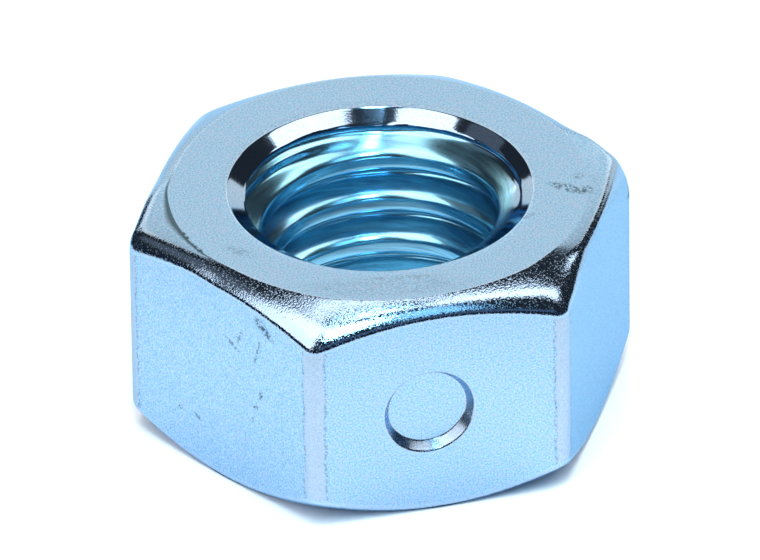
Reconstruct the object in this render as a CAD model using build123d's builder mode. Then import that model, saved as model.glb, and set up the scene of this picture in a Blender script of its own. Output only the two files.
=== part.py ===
from build123d import *
import os
from math import cos, radians, tan

# Hexagon lock nut, cold formed from one piece of steel and zinc plated.
# Millimetres. The bore runs along +Z, and the origin is the middle of the lower bearing face.
# Two opposite corners lie on the X axis, and one dimpled flat faces -Y.

os.makedirs("parts", exist_ok=True)

# Hexagon body
across_flats = 12.7
height = 6.75
corner_radius = 0.6

# Cones that trim the corners, one at each end. The end faces stop this far inside the flats.
upper_face_inset = 0.4
upper_chamfer_angle = 31.0
lower_face_inset = 0.2
lower_chamfer_angle = 37.0

# Rolled edges beside the cones
rim_radius = 0.4
face_edge_radius = 0.15

# Bore: its wall stands at the inner diameter of the thread, which is not cut here
bore_diameter = 6.6
mouth_diameter = 8.7
countersink_angle = 120.0

# Locking dimples, punched into every second flat
dimple_count = 3
dimple_diameter = 2.3
dimple_depth = 0.42
dimple_wall_taper = 12.0
dimple_lip = 0.1
dimple_beside_middle = -0.28
dimple_above_middle = -0.18

# Sizes that follow from those above
corner_reach = across_flats / 2 / cos(radians(30))
upper_face_radius = across_flats / 2 - upper_face_inset
lower_face_radius = across_flats / 2 - lower_face_inset
upper_drop = (corner_reach - upper_face_radius) * tan(radians(upper_chamfer_angle))
lower_rise = (corner_reach - lower_face_radius) * tan(radians(lower_chamfer_angle))
countersink_depth = (mouth_diameter - bore_diameter) / 2 / tan(radians(countersink_angle / 2))
dimple_floor_radius = dimple_diameter / 2 - (dimple_depth - dimple_lip) * tan(radians(dimple_wall_taper))

# A plane at the middle of each dimple's mouth, with its normal outwards
dimple_middle = Location((dimple_beside_middle, height / 2 + dimple_above_middle, across_flats / 2))
dimple_planes = [
    Plane(Plane.XZ.rotated((0, 0, 360 / dimple_count * step)).location * dimple_middle)
    for step in range(dimple_count)
]

# Hollow that the punch leaves, with a flat floor, a wall that narrows inwards and an eased lip
with BuildPart() as dimple:
    with BuildSketch(Plane.XZ):
        with BuildLine():
            Polyline(
                (0, 0),
                (dimple_diameter / 2 + dimple_lip, 0),
                (dimple_diameter / 2, -dimple_lip),
                (dimple_floor_radius, -dimple_depth),
                (0, -dimple_depth),
                close=True,
            )
        make_face()
    revolve(axis=Axis.Z)

with BuildPart() as hex_nut:
    # Six flats with rounded corners
    with BuildSketch():
        RegularPolygon(across_flats / 2, 6, major_radius=False)
    extrude(amount=height)
    fillet(hex_nut.edges().filter_by(Axis.Z), corner_radius)

    # Turned outline, with a flat ring at each end and a cone that trims the corners
    with BuildSketch(Plane.XZ):
        with BuildLine():
            Polyline(
                (0, 0),
                (lower_face_radius, 0),
                (corner_reach, lower_rise),
                (corner_reach, height - upper_drop),
                (upper_face_radius, height),
                (0, height),
                close=True,
            )
        make_face()
    revolve(axis=Axis.Z, mode=Mode.INTERSECT)

    # Rolled edges, where the cones meet the flats and where they meet the end faces
    curved_edges = hex_nut.edges().filter_by(GeomType.LINE, reverse=True)
    fillet(curved_edges.filter_by(GeomType.CIRCLE, reverse=True), rim_radius)
    face_rings = hex_nut.edges().filter_by(GeomType.CIRCLE).group_by(Axis.Z)
    fillet(face_rings[0] + face_rings[-1], face_edge_radius)

    # Bore, countersunk at both ends
    with BuildSketch(Plane.XZ):
        with BuildLine():
            Polyline(
                (0, 0),
                (mouth_diameter / 2, 0),
                (bore_diameter / 2, countersink_depth),
                (bore_diameter / 2, height - countersink_depth),
                (mouth_diameter / 2, height),
                (0, height),
                close=True,
            )
        make_face()
    revolve(axis=Axis.Z, mode=Mode.SUBTRACT)

    # A dimple in every second flat
    with Locations(*dimple_planes):
        add(dimple.part, mode=Mode.SUBTRACT)

hex_nut.part.label = "hex_nut"
export_step(hex_nut.part, "parts/hex_nut.step")
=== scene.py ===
import bmesh
import bpy
import math
from mathutils import Matrix, Vector


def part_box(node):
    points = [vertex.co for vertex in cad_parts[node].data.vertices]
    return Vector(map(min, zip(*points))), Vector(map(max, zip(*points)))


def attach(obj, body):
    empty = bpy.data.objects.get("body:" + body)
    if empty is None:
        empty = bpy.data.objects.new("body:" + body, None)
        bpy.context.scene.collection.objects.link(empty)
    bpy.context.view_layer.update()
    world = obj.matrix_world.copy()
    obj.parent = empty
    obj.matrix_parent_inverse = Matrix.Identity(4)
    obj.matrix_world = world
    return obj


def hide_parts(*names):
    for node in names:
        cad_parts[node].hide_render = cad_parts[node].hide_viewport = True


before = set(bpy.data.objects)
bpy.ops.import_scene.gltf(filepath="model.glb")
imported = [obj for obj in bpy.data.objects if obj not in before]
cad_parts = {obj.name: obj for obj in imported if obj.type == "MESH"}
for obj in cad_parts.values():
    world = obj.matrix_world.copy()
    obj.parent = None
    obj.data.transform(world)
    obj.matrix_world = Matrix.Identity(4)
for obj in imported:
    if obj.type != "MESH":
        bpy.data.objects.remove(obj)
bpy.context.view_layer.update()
nutLow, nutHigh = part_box("hex_nut")
mm = 0.001
print("frame loaded:", len(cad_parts), "solid")


def smooth(value, low, high):
    # 0 up to low, 1 from high on, and an even bend between
    share = min(max((value - low) / (high - low), 0.0), 1.0)
    return share * share * (3 - 2 * share)


def direction(azimuth, elevation):
    # unit vector: azimuth is counted from +X towards +Y, elevation from the floor upwards
    a, e = math.radians(azimuth), math.radians(elevation)
    return Vector((math.cos(a) * math.cos(e), math.sin(a) * math.cos(e), math.sin(e)))


def linearColour(hexText):
    # sRGB hex to the linear colour that the shaders want
    levels = [int(hexText[i:i + 2], 16) / 255 for i in (1, 3, 5)]
    return [c / 12.92 if c <= 0.04045 else ((c + 0.055) / 1.055) ** 2.4 for c in levels] + [1.0]


def linkPiece(name, bm):
    # the finished bmesh as an object in the scene
    mesh = bpy.data.meshes.new(name)
    bm.to_mesh(mesh)
    bm.free()
    piece = bpy.data.objects.new(name, mesh)
    bpy.context.scene.collection.objects.link(piece)
    return piece


def addNode(tree, kind, settings=None, **links):
    # one node with its settings; links are sockets, numbers or hex colours for its inputs, by the
    # input's name, or by its place as in0, in1 and so on
    node = tree.nodes.new(kind)
    for name, value in (settings or {}).items():
        if hasattr(node, name):
            setattr(node, name, value)
        else:
            node.inputs[name].default_value = value
    for name, source in links.items():
        socket = node.inputs[int(name[2:]) if name.startswith("in") else name]
        if isinstance(source, bpy.types.NodeSocket):
            tree.links.new(source, socket)
        else:
            socket.default_value = linearColour(source) if isinstance(source, str) else source
    return node


def makeMatt(name, colour, specular):
    # plain matt material
    material = bpy.data.materials.new(name)
    material.use_nodes = True
    shader = material.node_tree.nodes["Principled BSDF"]
    shader.inputs["Base Color"].default_value = linearColour(colour)
    shader.inputs["Roughness"].default_value = 1.0
    shader.inputs["Specular IOR Level"].default_value = specular
    return material


# Camera, at the place that the photograph was taken from
cameraSettings = {
    "azimuth": -14.59,    # degrees round the nut from straight in front of the dimpled flat
    "elevation": 32.86,
    "roll": -0.78,
    "distance": 384.5,    # mm from the middle of the nut
    "lens": 647.2,        # mm
    "sensorWidth": 36.0,
    "nutAside": 0.036,    # mm that the nut's middle lies right of the picture's middle
    "nutAbove": -0.222,
}


def addCamera():
    s = cameraSettings
    back = direction(s["azimuth"] - 90, s["elevation"])
    level = Vector((0, 0, 1)).cross(back).normalized()
    upright = back.cross(level)
    roll = math.radians(s["roll"])
    right = level * math.cos(roll) + upright * math.sin(roll)
    up = upright * math.cos(roll) - level * math.sin(roll)
    middle = (nutLow + nutHigh) / 2
    place = middle + (back * s["distance"] - right * s["nutAside"] - up * s["nutAbove"]) * mm
    data = bpy.data.cameras.new("camera")
    data.sensor_width = s["sensorWidth"]
    data.lens = s["lens"]
    data.clip_start = 0.01
    data.clip_end = 20
    camera = bpy.data.objects.new("camera", data)
    camera.matrix_world = Matrix.Translation(place) @ Matrix((right, up, back)).transposed().to_4x4()
    bpy.context.scene.collection.objects.link(camera)
    bpy.context.scene.camera = camera


addCamera()
bpy.context.scene.view_settings.view_transform = "Standard"
print("camera placed")

# Studio: a dim room, a round white table and soft boxes, each given as the nut sees it
studio = {
    "roomColour": "#3A4046",
    "roomStrength": 0.6,
    "tableColour": "#FBFDFF",
    "tableReach": 600.0,    # mm
    "lampDistance": 180.0,  # mm
    # azimuth, elevation, width and height in degrees, brightness, colour
    "lamps": {
        "leftBox": (198, 32, 40, 38, 2.0, "#FFFFFF"),
        "leftDimBox": (152, 40, 26, 30, 0.13, "#EEF4FF"),
        "leftHighBox": (200, 64, 34, 26, 2.4, "#FFFFFF"),
        "topBox": (97, 80, 27, 11, 2.2, "#FFFFFF"),
        "rightBox": (-7, 51, 18, 26, 2.4, "#FFFFFF"),
        "rightHighBox": (-16, 71, 20, 16, 2.4, "#FFFFFF"),
        "frontBox": (-72, 53, 14, 26, 1.9, "#A0DEFF"),
        "frontLowBox": (-85, 20, 60, 24, 0.2, "#A0CCFF"),
        "highFrontBox": (-101, 58, 7, 18, 24.0, "#B8E8FF"),
        "zenithStrip": (-92, 84, 8, 10, 12.0, "#B8E8FF"),
        "backWallLow": (73, 10, 80, 24, 1.08, "#FFF8EE"),
        "backWall": (78, 32, 58, 28, 1.24, "#FFF8EE"),
        "backWallHigh": (78, 54, 34, 18, 1.24, "#FFF8EE"),
    },
    # these light the table alone: the metal does not mirror them
    "tableLamps": {
        "tableFrontFill": (-105, 40, 60, 36, 0.05, "#FFFFFF"),
        "tableLeftFill": (-170, 40, 50, 36, 0.05, "#FFFFFF"),
        "tableRightFill": (30, 45, 60, 44, 1.05, "#FFFFFF"),
    },
    # small and close, so that the table is lightest at the nut's foot, and not mirrored either:
    # azimuth, elevation, distance in mm, brightness
    "closeLamps": {
        "closeFrontFill": (-84, 58, 17.0, 0.31),
        "closeLeftFill": (-168, 58, 17.0, 0.31),
        "closeRightFill": (-6, 58, 17.0, 0.2),
    },
    "closeLampRadius": 4.0,
    # dark card low down round the nut, from one azimuth to another, that only the metal mirrors
    "card": {"from": 112, "to": 345, "reach": 24.0, "height": 9.5, "colour": "#0B1826"},
}


def addRoom():
    world = bpy.data.worlds.new("studioRoom")
    world.use_nodes = True
    background = world.node_tree.nodes["Background"]
    background.inputs["Color"].default_value = linearColour(studio["roomColour"])
    background.inputs["Strength"].default_value = studio["roomStrength"]
    bpy.context.scene.world = world


def addLamps():
    middle = (nutLow + nutHigh) / 2
    reach = studio["lampDistance"] * mm
    boxes = {**studio["lamps"], **studio["tableLamps"]}
    for name, (azimuth, elevation, width, tallness, brightness, colour) in boxes.items():
        lamp = bpy.data.lights.new(name, "AREA")
        lamp.shape = "RECTANGLE"
        lamp.size = 2 * reach * math.tan(math.radians(width / 2))
        lamp.size_y = 2 * reach * math.tan(math.radians(tallness / 2))
        lamp.energy = brightness * math.pi * lamp.size * lamp.size_y
        lamp.color = linearColour(colour)[:3]
        box = bpy.data.objects.new(name, lamp)
        towards = direction(azimuth, elevation)
        box.location = middle + towards * reach
        box.rotation_mode = "QUATERNION"
        box.rotation_quaternion = towards.to_track_quat("Z", "Y")
        box.visible_camera = False
        box.visible_glossy = name in studio["lamps"]
        bpy.context.scene.collection.objects.link(box)
    for name, (azimuth, elevation, distance, brightness) in studio["closeLamps"].items():
        lamp = bpy.data.lights.new(name, "POINT")
        lamp.shadow_soft_size = studio["closeLampRadius"] * mm
        lamp.energy = brightness * (2 * math.pi * distance * mm) ** 2
        ball = bpy.data.objects.new(name, lamp)
        ball.location = direction(azimuth, elevation) * distance * mm
        ball.visible_camera = ball.visible_glossy = False
        bpy.context.scene.collection.objects.link(ball)


def addTable():
    bm = bmesh.new()
    bmesh.ops.create_circle(bm, cap_ends=True, segments=96, radius=studio["tableReach"] * mm)
    table = linkPiece("table", bm)
    table.data.materials.append(makeMatt("mattWhiteTable", studio["tableColour"], 0.0))


def addCard():
    card = studio["card"]
    bm = bmesh.new()
    start = direction(card["from"], 0) * card["reach"] * mm
    ends = [bm.verts.new(start), bm.verts.new(start + Vector((0, 0, card["height"] * mm)))]
    bmesh.ops.spin(bm, geom=ends + [bm.edges.new(ends)], cent=(0, 0, 0), axis=(0, 0, 1),
                   angle=math.radians(card["to"] - card["from"]), steps=72)
    piece = linkPiece("darkCard", bm)
    piece.visible_camera = piece.visible_diffuse = piece.visible_shadow = False
    piece.data.materials.append(makeMatt("blackPaper", card["colour"], 0.5))


addRoom()
addLamps()
addTable()
addCard()
print("studio lit")

# Nut, all in mm: its box comes from the solid, and the rest is what a user would change
nut = {
    "cornerRounding": 0.6,
    # each end's section from its face outwards, top (1) and bottom (-1): how far the face stops
    # inside the flats, the slope in degrees after each bend, and the bends' radii; a pair is for
    # the middle of a flat and for a corner, where the press left the bends wider
    "ends": {
        1: {"inset": (0.55, 0.48), "tilts": (23, 28, 52), "brow": 0.13,
            "shoulder": (0.85, 1.8), "rim": (0.24, 0.38)},
        -1: {"inset": (0.2, 0.2), "tilts": (30, 38, 55), "brow": 0.3,
             "shoulder": (0.3, 0.8), "rim": (0.26, 0.3)},
    },
    # the press struck the upper end more lightly at the left and the right corner: it has this
    # section as far as the first reach in degrees either side, and none of it from the second on;
    # the crease amount is painted shade along the face's edge, and satinRim is 1 where the rim is like
    # a flat
    "lightStruck": [
        {"azimuth": 182, "reach": (15, 29), "inset": (0.4, 0.4), "tilts": (12, 16, 52),
         "shoulder": (0.6, 0.6), "rim": (0.24, 0.7), "creaseShade": 1.0, "satinRim": 0.0},
        {"azimuth": -17, "reach": (26, 38), "inset": (0.5, 0.5), "tilts": (10, 15, 60),
         "shoulder": (0.28, 0.5), "rim": (0.2, 2.2), "creaseShade": 0.0, "satinRim": 1.0},
    ],
    # mouth: a fine ring pressed down round it, then the countersink
    "mouthLip": 0.16,
    "mouthLipTilt": 9.0,
    "mouthReach": 4.35,
    "mouthRounding": 0.12,
    "sinkAngle": 54.0,                   # from the bore's axis
    # thread
    "threadInner": 3.3,
    "threadOuter": 3.97,
    "pitch": 1.411,
    "threadHand": -1,                    # 1 climbs as a right-hand thread does, -1 as a left-hand one
    "threadPhase": 0.914,                # share of a turn
    "crestShare": 0.33,                  # of the pitch, flat on the crest, and then at the root
    "rootShare": 0.125,
    "crestEasing": 0.13,                 # half the height of the round bend beside a crest
    "rootEasing": 0.08,
    "mouthEasing": 0.06,                 # rounds the edge where the countersink runs into the thread
    # the countersink's tool opens the first groove upwards by the lift, from none at the first
    # height to all of it at the second, and most at this azimuth
    "firstTurn": {"lift": 0.3, "heights": (5.75, 6.05), "azimuth": 165},
    # dimples, punched into every second flat
    "dimpleAzimuths": (-90, 30, 150),
    "dimpleAside": -0.31,                # seen from outside, to the right
    "dimpleHeight": 3.28,
    "dimpleReach": 1.293,
    "dimpleDepth": 0.3,
    "dimpleTaper": 30.0,                 # of its wall, from straight inwards
    "dimpleLip": 0.08,
    "dimpleFloorRounding": 0.07,
    "swelling": 0.16,                    # that a dimple pushes the thread inwards
    "swellingReach": 1.0,
    # finish: 1 is burnished as the rolled rims are, and 0 satin as the flats
    "mouthShine": 0.9,
    "dimpleWallShine": 0.3,
    "rimFoot": (0.8, 0.5),               # share of a rim's bend where its foot starts, and its shine
    "satinRimShares": (0.1, 0.5),        # of the bend, from burnished to satin where satinRim is 1
    "bandShine": 0.3,                    # a rim duller than this has the corner band too
    "creaseEnd": 0.2,                    # share of the cone
    # the bore's colour carries a painted tint for light bounced round the hole
    "tintDepths": (0.35, 0.6),           # under the faces, where the bore's colour starts and is full
    # mesh: columns on a corner's half and on a flat, rows down the bore, and so on
    "cornerSteps": 6,
    "flatSteps": 56,
    "boreStep": 0.052,
    "sinkRows": (14, 24),                # down the lower countersink and the upper one
    "rimRow": 0.04,                      # rows on the flats: this far from a rim,
    "upperRow": 5.45,                    # at this height,
    "dimpleRows": 6,                     # and so many across the dimples' windows
    "dimpleWindow": 1.62,                # half the side of the square of flat round a dimple
    "dimpleSegments": 96,
    "dimpleSkirt": 0.06,                 # ring of flat outside the lip, and of floor inside its bend
    "dimpleHub": 0.5,                    # radius of the disc in the middle of the floor
    "mergeDistance": 0.0005,
    "sharpAngle": 38.0,
    "farAside": 3.0,                     # "aside" of what has no corner band
}
height = (nutHigh.z - nutLow.z) / mm
flatReach = (nutHigh.y - nutLow.y) / 2 / mm
cornerMiddle = (flatReach - nut["cornerRounding"]) / math.cos(math.radians(30))
cornerReach = cornerMiddle + nut["cornerRounding"]
flatHalf = (flatReach - nut["cornerRounding"]) * math.tan(math.radians(30))
columnsPerSide = 2 * nut["cornerSteps"] + nut["flatSteps"]
columns = 6 * columnsPerSide
sinkDepth = (nut["mouthReach"] - nut["threadInner"]) / math.tan(math.radians(nut["sinkAngle"]))
# what the plating reads from the mesh: how burnished and hammered a place is, how much painted
# shade it has in the crease, how far into the bore, and how far in mm from the nearest upright corner
layerNames = ("burnished", "hammered", "soiled", "bore", "aside")


def columnPlace(column):
    # azimuth in radians, distance from the axis, and distance from the corner along the outline,
    # of one upright column of the hexagon
    side, step = divmod(column, columnsPerSide)
    mirrored = step > columnsPerSide / 2
    step = columnsPerSide - step if mirrored else step
    if step <= nut["cornerSteps"]:
        turn = math.radians(30) * step / nut["cornerSteps"]
        x = cornerMiddle + nut["cornerRounding"] * math.cos(turn)
        y = nut["cornerRounding"] * math.sin(turn)
        turned, reach, aside = math.atan2(y, x), math.hypot(x, y), nut["cornerRounding"] * turn
    else:
        lateral = flatHalf - 2 * flatHalf * (step - nut["cornerSteps"]) / nut["flatSteps"]
        turned = math.radians(30) - math.atan(lateral / flatReach)
        reach = math.hypot(lateral, flatReach)
        aside = nut["cornerRounding"] * math.radians(30) + flatHalf - lateral
    return math.radians(60) * side + (math.radians(60) - turned if mirrored else turned), reach, aside


def easedRamp(x, easing):
    # 0 below zero and x above it, with a round bend between
    if x >= easing:
        return x
    return (x + easing) ** 2 / (4 * easing) if x > -easing else 0.0


def threadReach(z, azimuth):
    # distance of the thread's surface from the axis, with flat crests and roots
    first = nut["firstTurn"]
    nearness = max(0.0, math.cos(azimuth - math.radians(first["azimuth"])))
    lift = first["lift"] * smooth(z, *first["heights"]) * nearness
    turns = (z - lift) / nut["pitch"] - nut["threadHand"] * azimuth / math.tau + nut["threadPhase"]
    fromCrest = abs(turns - round(turns)) * nut["pitch"]
    flankStart = nut["crestShare"] * nut["pitch"] / 2
    flankEnd = (1 - nut["rootShare"]) * nut["pitch"] / 2
    slope = (nut["threadOuter"] - nut["threadInner"]) / (flankEnd - flankStart)
    cut = easedRamp(fromCrest - flankStart, nut["crestEasing"])
    return nut["threadInner"] + slope * (cut - easedRamp(fromCrest - flankEnd, nut["rootEasing"]))


def swellingDepth(z, azimuth):
    # how far the punched dimples push the thread inwards
    total = 0.0
    for middle in nut["dimpleAzimuths"]:
        gap = (azimuth - math.radians(middle) + math.pi) % math.tau - math.pi
        across = gap * nut["threadInner"] - nut["dimpleAside"]
        away = math.hypot(across, z - nut["dimpleHeight"]) / nut["swellingReach"]
        total += nut["swelling"] * math.exp(-away * away)
    return total


def bend(radius, low, high, share=1.0):
    # width and drop of a round bend from one slope to another, or of a share of it
    turn = low + (high - low) * share
    return radius * (math.sin(turn) - math.sin(low)), radius * (math.cos(low) - math.cos(turn))


def mouthPoint(kind, share):
    # the ring round the mouth, and the bend from it into the countersink
    lip, sink = math.radians(nut["mouthLipTilt"]), math.radians(90 - nut["sinkAngle"])
    inwards = math.tan(lip) * nut["mouthLip"] / (math.tan(sink) - math.tan(lip))
    edgeReach, edgeDepth = nut["mouthReach"] - inwards, inwards * math.tan(sink)
    back = nut["mouthRounding"] * math.tan((sink - lip) / 2)
    startReach, startDepth = edgeReach + back * math.cos(lip), edgeDepth - back * math.sin(lip)
    if kind == "lip":
        faceStart = nut["mouthReach"] + nut["mouthLip"]
        return faceStart + (startReach - faceStart) * share, startDepth * share
    width, drop = bend(nut["mouthRounding"], lip, sink, share)
    return startReach - width, startDepth + drop


def lightness(struck, azimuth):
    # 1 in the middle of a lightly struck corner, 0 away from it
    gap = abs((math.degrees(azimuth) - struck["azimuth"] + 180) % 360 - 180)
    return 1 - smooth(gap, *struck["reach"])


def struckMost(azimuth, quality=None):
    # the strongest that any lightly struck corner is here, as a whole or in one quality
    return max(lightness(struck, azimuth) * (struck[quality] if quality else 1.0)
               for struck in nut["lightStruck"])


def endForm(end, reach, azimuth):
    # inset, shoulder and rim of one end's section in mm, and its three slopes in radians
    form = nut["ends"][end]
    corner = (reach - flatReach) / (cornerReach - flatReach)

    def between(pair):
        return pair[0] * (1 - corner) + pair[1] * corner

    names = ("inset", "shoulder", "rim")
    sizes, tilts = [between(form[name]) for name in names], form["tilts"]
    for struck in nut["lightStruck"] if end > 0 else []:
        light = lightness(struck, azimuth)
        sizes = [size + (between(struck[name]) - size) * light for size, name in zip(sizes, names)]
        tilts = [tilt + (flatter - tilt) * light for tilt, flatter in zip(tilts, struck["tilts"])]
    return sizes + [math.radians(tilt) for tilt in tilts]


def endPoint(end, kind, share, reach, azimuth):
    # distance from the axis and depth under the end face of one station of the section
    if kind in ("lip", "mouth"):
        return mouthPoint(kind, share)
    inset, shoulder, rim, first, second, third = endForm(end, reach, azimuth)
    brow = nut["ends"][end]["brow"]
    faceEnd = flatReach - inset
    if kind == "face":
        faceStart = nut["mouthReach"] + nut["mouthLip"]
        return faceStart + (faceEnd - faceStart) * share, 0.0

    browWidth, browDrop = bend(brow, 0.0, first)
    shoulderWidth, shoulderDrop = bend(shoulder, second, third)
    rimWidth, rimDrop = bend(rim, third, math.pi / 2)
    coneStart, coneEnd = faceEnd + browWidth, reach - shoulderWidth - rimWidth
    growth = (second - first) / (coneEnd - coneStart)

    def coneDrop(tilt):
        # the cone is crowned: its slope grows evenly outwards
        return math.log(math.cos(first) / math.cos(tilt)) / growth

    underCone = browDrop + coneDrop(second)
    if kind == "brow":
        width, drop = bend(brow, 0.0, first, share)
        return faceEnd + width, drop
    if kind == "cone":
        drop = browDrop + coneDrop(first + (second - first) * share)
        return coneStart + (coneEnd - coneStart) * share, drop
    if kind == "shoulder":
        width, drop = bend(shoulder, second, third, share)
        return coneEnd + width, underCone + drop
    if kind == "rim":
        width, drop = bend(rim, third, math.pi / 2, share)
        return reach - rimWidth + width, underCone + shoulderDrop + drop
    return reach, underCone + shoulderDrop + rimDrop + share


def sectionStations():
    # the closed section, from the upper mouth outwards, down the flat and back up the bore
    stations = []

    def add(end, kind, shares):
        stations.extend((end, kind, share) for share in shares)

    def steps(low, high, count, first=0, last=0):
        return [low + (high - low) * i / count for i in range(first, count + 1 - last)]

    add(1, "lip", [0.9, 0.5, 0.1])
    add(1, "face", [0.0, 0.1, 0.5, 0.9, 0.98, 1.0])
    add(1, "brow", steps(0, 1, 5, first=1))
    add(1, "cone", [0.1, 0.3, 0.5, 0.7, 0.9])
    add(1, "shoulder", steps(0, 1, 7))
    add(1, "rim", steps(0, 1, 7, first=1))
    add(1, "flat", [nut["rimRow"]])
    middle, window = nut["dimpleHeight"], nut["dimpleWindow"]
    add(0, "flat", [nut["upperRow"]] + steps(middle + window, middle - window, nut["dimpleRows"]))
    add(-1, "flat", [nut["rimRow"]])
    add(-1, "rim", steps(1, 0, 7))
    add(-1, "shoulder", steps(1, 0, 4, first=1))
    add(-1, "cone", [0.9, 0.5, 0.1])
    add(-1, "brow", steps(1, 0, 4, last=1))
    add(-1, "face", [1.0, 0.98, 0.5, 0.1, 0.0])
    add(-1, "lip", [0.1, 0.5, 0.9])
    add(-1, "mouth", steps(0, 1, 4))
    sinkStart = mouthPoint("mouth", 1.0)[1]
    lowerRows, upperRows = nut["sinkRows"]
    boreRows = round((height - 2 * sinkDepth) / nut["boreStep"])
    add(0, "bore", steps(sinkStart, sinkDepth, lowerRows, first=1))
    add(0, "bore", steps(sinkDepth, height - sinkDepth, boreRows, first=1))
    add(0, "bore", steps(height - sinkDepth, height - sinkStart, upperRows, first=1, last=1))
    add(1, "mouth", steps(1, 0, 4))
    return stations


def stationPoint(station, azimuth, reach):
    # distance from the axis and height above the floor
    end, kind, share = station
    if kind == "flat" and end == 0:
        return reach, share
    if kind == "bore":
        depth = min(share, height - share)
        sink = nut["mouthReach"] - depth * math.tan(math.radians(nut["sinkAngle"]))
        wall = threadReach(share, azimuth) - swellingDepth(share, azimuth)
        return wall + easedRamp(sink - wall, nut["mouthEasing"]), share
    distance, depth = endPoint(end, kind, share, reach, azimuth)
    return distance, (height - depth if end > 0 else depth)


def finishLevels(station, azimuth):
    # how burnished and hammered the surface is there, how much painted shade it has in the crease, and
    # how far inside the bore
    end, kind, share = station
    if kind == "bore":
        return 1.0, 0.0, 0.0, smooth(min(share, height - share), *nut["tintDepths"])
    if kind == "mouth":
        return nut["mouthShine"], 0.0, 0.0, 0.0
    if kind in ("lip", "face", "flat"):
        return 0.0, 0.0, 0.0, 0.0
    footStart, footShine = nut["rimFoot"]
    level = footShine if kind == "rim" and share > footStart else 1.0
    soiled = 0.0
    if end > 0 and kind in ("brow", "cone"):
        level = 1 - struckMost(azimuth)
        # painted shade in the crease along the face's edge, where the press struck lightly
        if kind == "brow" or share < nut["creaseEnd"]:
            soiled = struckMost(azimuth, "creaseShade")
    elif end > 0 and kind == "rim":
        level *= 1 - struckMost(azimuth, "satinRim") * smooth(share, *nut["satinRimShares"])
    return level, level, soiled, 0.0


def addLayers(bm):
    return {name: bm.verts.layers.float.new(name) for name in layerNames}


def dimpleSection():
    # reach and depth: from the flat over the lip, down the wall and across the floor
    lipTurn = math.radians(90 - nut["dimpleTaper"])
    lip, floorBend, depth = nut["dimpleLip"], nut["dimpleFloorRounding"], nut["dimpleDepth"]
    outerReach = nut["dimpleReach"] + lip * math.tan(lipTurn / 2)
    floorReach = nut["dimpleReach"] - depth * math.tan(math.radians(nut["dimpleTaper"]))
    bendStart = floorReach - floorBend * math.tan(lipTurn / 2)
    lipSteps, floorSteps = 8, 5
    points = [(outerReach + nut["dimpleSkirt"], 0.0)]
    for i in range(lipSteps + 1):
        turn = lipTurn * i / lipSteps
        points.append((outerReach - lip * math.sin(turn), lip * (1 - math.cos(turn))))
    for i in range(floorSteps + 1):
        turn = lipTurn * (1 - i / floorSteps)
        drop = depth - floorBend * (1 - math.cos(turn))
        points.append((bendStart + floorBend * math.sin(turn), drop))
    return points + [(bendStart - nut["dimpleSkirt"], depth), (nut["dimpleHub"], depth)]


def makeDimple(azimuth):
    # one spun dimple, ready to be set into its flat
    bm = bmesh.new()
    layers = addLayers(bm)
    outwards = direction(azimuth, 0)
    aside = Vector((0, 0, 1)).cross(outwards)
    middle = outwards * flatReach + aside * nut["dimpleAside"] + Vector((0, 0, nut["dimpleHeight"]))
    points = dimpleSection()
    chain = [bm.verts.new(middle + aside * reach - outwards * depth) for reach, depth in points]
    for vert, (reach, depth) in zip(chain, points):
        # the wall is as grey as a corner band
        onWall = 0.0 < depth < nut["dimpleDepth"]
        vert[layers["burnished"]] = vert[layers["hammered"]] = nut["dimpleWallShine"] if onWall else 0.0
        vert[layers["aside"]] = 0.0 if onWall else nut["farAside"]
    edges = [bm.edges.new(pair) for pair in zip(chain, chain[1:])]
    bmesh.ops.spin(bm, geom=chain + edges, cent=middle, axis=outwards, angle=math.tau,
                   steps=nut["dimpleSegments"], use_merge=True)
    hub = nut["dimpleHub"] + nut["dimpleDepth"] / 2
    inner = [e for e in bm.edges if all((v.co - middle).length < hub for v in e.verts)]
    bmesh.ops.edgeloop_fill(bm, edges=inner)
    mesh = bpy.data.meshes.new("dimple")
    bm.to_mesh(mesh)
    bm.free()
    return mesh, middle, outwards, aside


def pressDimples(bm):
    # cuts a window in every second flat and fills it with a dimple and the flat round it
    window = nut["dimpleWindow"]
    for azimuth in nut["dimpleAzimuths"]:
        dimple, middle, outwards, aside = makeDimple(azimuth)
        faces = []  # of the flat, with their middles in the window
        for face in bm.faces:
            offset = face.calc_center_median() - middle
            onFlat = abs(offset.dot(outwards)) < 0.01
            if onFlat and abs(offset.z) < window and abs(offset.dot(aside)) < window - 0.05:
                faces.append(face)
        bmesh.ops.delete(bm, geom=faces, context="FACES")
        bm.from_mesh(dimple)
        bpy.data.meshes.remove(dimple)
        gap = [e for e in bm.edges if len(e.link_faces) == 1]
        bmesh.ops.triangle_fill(bm, edges=gap, normal=outwards, use_beauty=True)


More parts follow.
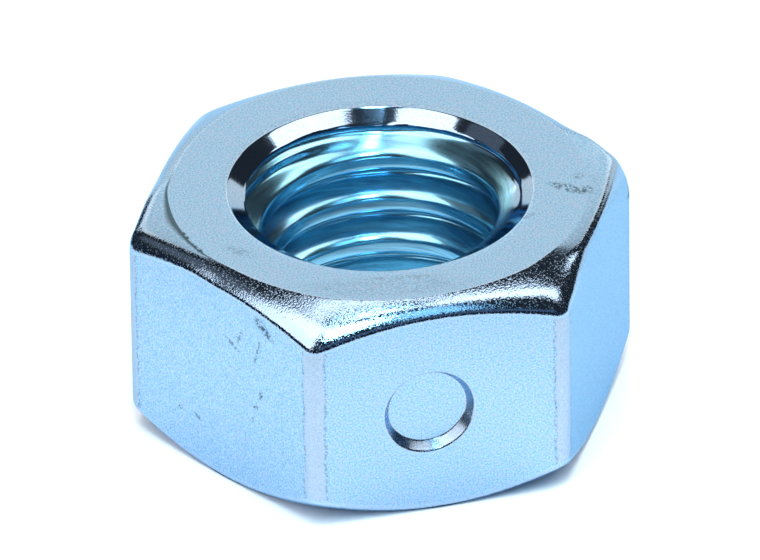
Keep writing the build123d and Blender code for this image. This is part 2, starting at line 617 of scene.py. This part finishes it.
def makeNut():
    # a sheet with a column for each place round the hexagon and a row for each station of the
    # section, rolled round the axis and joined to itself both ways
    stations = sectionStations()
    bm = bmesh.new()
    bmesh.ops.create_grid(bm, x_segments=columns, y_segments=len(stations), size=1)
    layers = addLayers(bm)
    places = [columnPlace(column) for column in range(columns)]
    for vert in bm.verts:
        azimuth, reach, aside = places[round((vert.co.x + 1) / 2 * columns) % columns]
        station = stations[round((vert.co.y + 1) / 2 * len(stations)) % len(stations)]
        distance, z = stationPoint(station, azimuth, reach)
        vert.co = (distance * math.cos(azimuth), distance * math.sin(azimuth), z)
        levels = finishLevels(station, azimuth)
        likeFlat = station[1] in ("flat", "rim") and levels[0] < nut["bandShine"]
        for name, level in zip(layerNames, levels + (aside if likeFlat else nut["farAside"],)):
            vert[layers[name]] = level
    bmesh.ops.remove_doubles(bm, verts=bm.verts, dist=nut["mergeDistance"])
    print("section rolled:", len(bm.verts), "points in", len(stations), "rows")
    pressDimples(bm)
    print("dimples pressed")

    bmesh.ops.recalc_face_normals(bm, faces=bm.faces)
    bmesh.ops.scale(bm, vec=(mm, mm, mm), verts=bm.verts)
    for face in bm.faces:
        face.smooth = True
    piece = linkPiece("nutBody", bm)
    piece.data.set_sharp_from_angle(angle=math.radians(nut["sharpAngle"]))
    return piece


nutBody = makeNut()
print("nut made:", len(nutBody.data.polygons), "faces")

# Zinc plate over cold-formed steel, with a clear blue passivate: a pale blue metal, satin on the
# faces from the press, and rolled to a speckled shine on the rims and the countersinks. Sizes are
# in mm, and each spread is what a Map Range node is set to
plate = {
    "lightColour": "#A7CAE0",
    "shadeColour": "#75A5CC",
    "warmColour": "#AEB4D2",
    "edgeColour": "#C4E3F6",          # at a grazing angle
    "roughness": 0.3,
    "grain": 0.05,                    # the zinc's crystals, coarser than they are so that they show
    "shadeSpread": {"From Min": 0.35, "From Max": 0.65},
    "warmSpread": {"From Min": 0.48, "From Max": 0.75},
    # rolled rims and countersinks: the passivate is thin there, and dull specks pepper the rims
    "burnishedColour": "#B6C8DF",
    "burnishedShare": 0.55,
    "burnishedRoughness": 0.07,
    "hammer": 0.05,                   # the specks and the fine hammering, coarser as well
    "speckSpread": {"From Min": 0.52, "From Max": 0.7, "To Max": 0.3},
    "hammerDepth": 0.02,
    "hammerSpread": {"To Min": 0.03, "To Max": 0.25},
    # bore: the metal's colour with a cyan tint painted in for light bounced round the hole, and fine
    # streaks the tap left along the thread
    "boreColour": "#9FDFF6",
    "boreStreakColour": "#86B8D2",
    "boreRoughness": 0.2,
    "streak": (2, 2, 1 / 11),         # across, and up
    "streakSpread": {"From Min": 0.45, "From Max": 0.65},
    # corner bands, greyer, with a fine dark line along each wavering side
    "bandColour": "#ABB3BF",
    "bandShare": 0.55,
    "bandHalfWidth": 0.32,
    "bandFade": 0.06,
    "waver": 1 / 2.2,
    "waverSpread": {"To Min": -0.12, "To Max": 0.12},
    "lineSpread": {"From Min": 0.06, "From Max": 0.01, "To Max": 0.5},
    # dirt in the marks and the lines, broken up into specks, and painted shade, unbroken, in the crease
    "dirtAndShadeColour": "#43525C",
    "dirtSpeck": 1 / 14,
    "dirtSpread": {"From Min": 0.42, "From Max": 0.58},
    "creaseDarkness": 0.9,
    "markDepth": 0.3,                 # either side of the surface
    "markFade": 0.45,
    # fine scratches, pits and smudges, and ovals of painted shade along the face's edge: the flat
    # they are on as its azimuth, 0 for the top face, then their place aside and up (or x and y), half
    # their length and width, their turn, and how dark they are
    "marksAndCreaseShade": [
        (-150, 1.78, 5.75, 0.53, 0.20, -35, 0.96),
        (-150, 0.82, 5.10, 0.35, 0.07, 70, 0.72),
        (-150, 0.52, 4.70, 0.38, 0.08, -30, 0.72),
        (-150, 1.52, 4.95, 0.69, 0.05, 75, 0.78),
        (-150, 1.62, 3.50, 0.20, 0.08, 80, 1.00),
        (-150, 1.40, 2.99, 0.12, 0.11, 0, 0.96),
        (-150, 1.27, 2.54, 0.12, 0.05, 90, 0.84),
        (-150, -1.59, 1.63, 0.15, 0.08, -20, 0.96),
        (-150, -0.95, 1.63, 0.18, 0.09, -30, 0.96),
        (-150, 2.54, 5.33, 0.07, 0.07, 0, 0.84),
        (0, 5.07, -1.52, 0.75, 0.24, -39, 0.80),
        (0, 5.45, -1.72, 0.34, 0.26, 0, 0.90),
        (0, 5.50, -1.00, 0.20, 0.16, 0, 0.50),
        (0, -1.20, -5.00, 3.00, 0.60, -12, 0.20),
        (0, 3.60, -2.60, 0.30, 0.10, 20, 0.40),
        (0, -0.60, -4.70, 1.30, 0.12, -10, 0.35),
        (0, -4.60, -2.20, 0.60, 0.20, 130, 0.35),
        # these three follow the face's edge at the left corner: painted shade in the crease
        (0, -5.88, -0.93, 0.50, 0.08, 99, 1.00),
        (0, -5.69, -1.74, 0.50, 0.09, 107, 1.00),
        (0, -5.39, -2.52, 0.50, 0.09, 115, 0.90),
    ],
}


def markMask(tree, place, mark):
    # soft oval in Object coordinates, given on a flat or on the top face
    flat, aside, up, length, width, turn, strength = mark
    if flat:
        normal = direction(flat, 0)
        sideways = Vector((0, 0, 1)).cross(normal)
        middle = normal * flatReach + sideways * aside + Vector((0, 0, up))
        axes = Matrix((sideways, Vector((0, 0, 1)), normal)).transposed()
    else:
        middle = Vector((aside, up, height))
        axes = Matrix.Identity(3)
    turned = (axes @ Matrix.Rotation(math.radians(turn), 3, "Z")).to_euler()
    oval = addNode(tree, "ShaderNodeMapping",
                   {"vector_type": "TEXTURE", "Location": middle * mm, "Rotation": turned,
                    "Scale": Vector((length, width, plate["markDepth"])) * mm}, Vector=place)
    ball = addNode(tree, "ShaderNodeTexGradient", {"gradient_type": "SPHERICAL"},
                   Vector=oval.outputs["Vector"])
    mask = addNode(tree, "ShaderNodeMapRange", {"From Max": plate["markFade"], "To Max": strength},
                   Value=ball.outputs["Fac"])
    return mask.outputs[0]


def makeZincPlate():
    material = bpy.data.materials.new("zincPlateBluePassivate")
    material.use_nodes = True
    tree = material.node_tree
    shader = tree.nodes["Principled BSDF"]
    shader.inputs["Metallic"].default_value = 1.0
    shader.inputs["Specular Tint"].default_value = linearColour(plate["edgeColour"])
    place = addNode(tree, "ShaderNodeTexCoord").outputs["Object"]
    inMm = addNode(tree, "ShaderNodeMapping", {"Scale": (1 / mm, 1 / mm, 1 / mm)},
                   Vector=place).outputs["Vector"]
    burnished, hammered, soiled, bore, aside = (
        addNode(tree, "ShaderNodeAttribute", {"attribute_name": name}).outputs["Fac"]
        for name in layerNames)

    # crystals: lighter and darker, bluer and warmer, and paler where they are burnished
    crystals = addNode(tree, "ShaderNodeTexNoise", {"Scale": 1 / plate["grain"], "Detail": 1.0},
                       Vector=inMm)
    tones = addNode(tree, "ShaderNodeSeparateColor", Color=crystals.outputs["Color"])
    shade = addNode(tree, "ShaderNodeMapRange", plate["shadeSpread"], Value=tones.outputs[0])
    warmth = addNode(tree, "ShaderNodeMapRange", plate["warmSpread"], Value=tones.outputs[1])
    thin = addNode(tree, "ShaderNodeMath", {"operation": "MULTIPLY"}, in0=burnished,
                   in1=plate["burnishedShare"])
    colour = addNode(tree, "ShaderNodeMix", {"data_type": "RGBA"}, in0=shade.outputs[0],
                     in6=plate["shadeColour"], in7=plate["lightColour"])
    colour = addNode(tree, "ShaderNodeMix", {"data_type": "RGBA"}, in0=warmth.outputs[0],
                     in6=colour.outputs[2], in7=plate["warmColour"])
    colour = addNode(tree, "ShaderNodeMix", {"data_type": "RGBA"}, in0=thin.outputs[0],
                     in6=colour.outputs[2], in7=plate["burnishedColour"])

    # bore, with its painted bounce tint and the tap's streaks
    along = addNode(tree, "ShaderNodeMapping", {"Scale": [1 / size for size in plate["streak"]]},
                    Vector=inMm)
    tapped = addNode(tree, "ShaderNodeTexNoise", {"Scale": 1.0, "Detail": 4.0, "Roughness": 0.7},
                     Vector=along.outputs["Vector"])
    streaks = addNode(tree, "ShaderNodeMapRange", plate["streakSpread"], Value=tapped.outputs["Fac"])
    wall = addNode(tree, "ShaderNodeMix", {"data_type": "RGBA"}, in0=streaks.outputs[0],
                   in6=plate["boreColour"], in7=plate["boreStreakColour"])
    colour = addNode(tree, "ShaderNodeMix", {"data_type": "RGBA"}, in0=bore,
                     in6=colour.outputs[2], in7=wall.outputs[2])

    # corner bands and the line along each side
    waver = addNode(tree, "ShaderNodeTexNoise", {"Scale": 1 / plate["waver"], "Detail": 3.0},
                    Vector=inMm)
    wavered = addNode(tree, "ShaderNodeMapRange", plate["waverSpread"], Value=waver.outputs["Fac"])
    aside = addNode(tree, "ShaderNodeMath", in0=aside, in1=wavered.outputs[0]).outputs[0]
    halfWidth = plate["bandHalfWidth"]
    band = addNode(tree, "ShaderNodeMapRange",
                   {"From Min": halfWidth, "From Max": halfWidth - plate["bandFade"],
                    "To Max": plate["bandShare"]}, Value=aside)
    colour = addNode(tree, "ShaderNodeMix", {"data_type": "RGBA"}, in0=band.outputs[0],
                     in6=colour.outputs[2], in7=plate["bandColour"])
    offLine = addNode(tree, "ShaderNodeMath", {"operation": "SUBTRACT"}, in0=aside, in1=halfWidth)
    fromLine = addNode(tree, "ShaderNodeMath", {"operation": "ABSOLUTE"}, in0=offLine.outputs[0])
    line = addNode(tree, "ShaderNodeMapRange", plate["lineSpread"], Value=fromLine.outputs[0])

    # dirt, and the painted shade in the crease
    dirtAndShade = line.outputs[0]
    for mark in plate["marksAndCreaseShade"]:
        dirtAndShade = addNode(tree, "ShaderNodeMath", {"operation": "MAXIMUM"}, in0=dirtAndShade,
                       in1=markMask(tree, place, mark)).outputs[0]
    flecks = addNode(tree, "ShaderNodeTexNoise", {"Scale": 1 / plate["dirtSpeck"], "Detail": 1.0},
                     Vector=inMm)
    broken = addNode(tree, "ShaderNodeMapRange", plate["dirtSpread"], Value=flecks.outputs["Fac"])
    dirtAndShade = addNode(tree, "ShaderNodeMath", {"operation": "MULTIPLY"}, in0=dirtAndShade, in1=broken.outputs[0])
    # painted shade along the face's edge, in the dirt colour
    creaseShade = addNode(tree, "ShaderNodeMath", {"operation": "MULTIPLY"}, in0=soiled,
                     in1=plate["creaseDarkness"])
    dirtAndShade = addNode(tree, "ShaderNodeMath", {"operation": "MAXIMUM"}, in0=dirtAndShade.outputs[0],
                   in1=creaseShade.outputs[0])
    colour = addNode(tree, "ShaderNodeMix", {"data_type": "RGBA"}, in0=dirtAndShade.outputs[0],
                     in6=colour.outputs[2], in7=plate["dirtAndShadeColour"])
    tree.links.new(colour.outputs[2], shader.inputs["Base Color"])

    # roughness: satin, burnished or bored, with dull specks on the rolled rims
    satin = addNode(tree, "ShaderNodeMapRange",
                    {"To Min": plate["roughness"], "To Max": plate["burnishedRoughness"]},
                    Value=burnished)
    bored = addNode(tree, "ShaderNodeMix", {"data_type": "FLOAT"}, in0=bore, in2=satin.outputs[0],
                    in3=plate["boreRoughness"])
    hammer = addNode(tree, "ShaderNodeTexNoise", {"Scale": 1 / plate["hammer"], "Detail": 1.0},
                     Vector=inMm)
    specks = addNode(tree, "ShaderNodeMapRange", plate["speckSpread"], Value=hammer.outputs["Fac"])
    dull = addNode(tree, "ShaderNodeMath", {"operation": "MULTIPLY_ADD"}, in0=specks.outputs[0],
                   in1=hammered, in2=bored.outputs[0])
    tree.links.new(dull.outputs[0], shader.inputs["Roughness"])

    # fine hammering on the rolled rims, and a trace of it elsewhere
    amount = addNode(tree, "ShaderNodeMapRange", plate["hammerSpread"], Value=hammered)
    bumps = addNode(tree, "ShaderNodeBump", {"Distance": plate["hammerDepth"] * mm},
                    Height=hammer.outputs["Fac"], Strength=amount.outputs[0])
    tree.links.new(bumps.outputs["Normal"], shader.inputs["Normal"])
    return material


nutBody.data.materials.append(makeZincPlate())
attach(nutBody, "root")
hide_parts("hex_nut")
print("nut plated")
